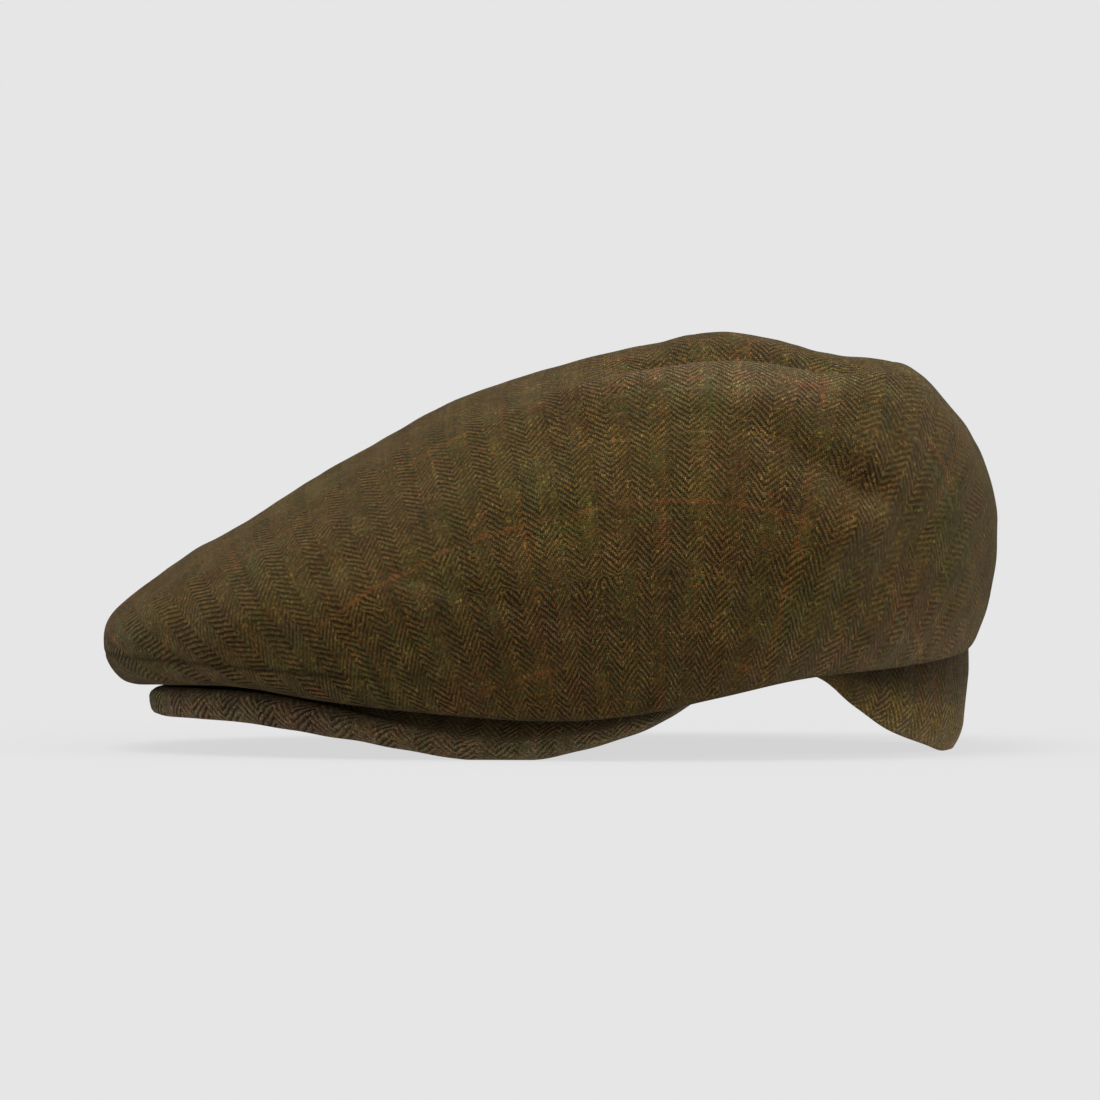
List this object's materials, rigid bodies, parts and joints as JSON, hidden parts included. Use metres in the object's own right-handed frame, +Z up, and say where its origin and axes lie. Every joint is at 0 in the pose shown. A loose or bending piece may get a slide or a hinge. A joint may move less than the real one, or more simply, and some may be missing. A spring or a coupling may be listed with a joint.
{
  "type": "flat cap",
  "caption": "Soft tweed flat cap: a puffed crown that rolls under all round and lies on a short curved peak, over a crescent side band, open below for the head.",
  "frame": {"origin": "on the surface that the cap rests on, under the middle of its bounding box", "axes": "+Z up, -Y towards the front of the cap, +X towards the wearer's left"},
  "size_m": [0.206, 0.2796, 0.13],
  "materials": {
    "crown_tweed": "woven wool, matt",
    "band_tweed": "woven wool, matt",
    "peak_tweed": "woven wool over a board, matt"
  },
  "bodies": {
    "root": {"crown": "crown_tweed", "side_band": "band_tweed", "peak": "peak_tweed"}
  },
  "joints": []
}
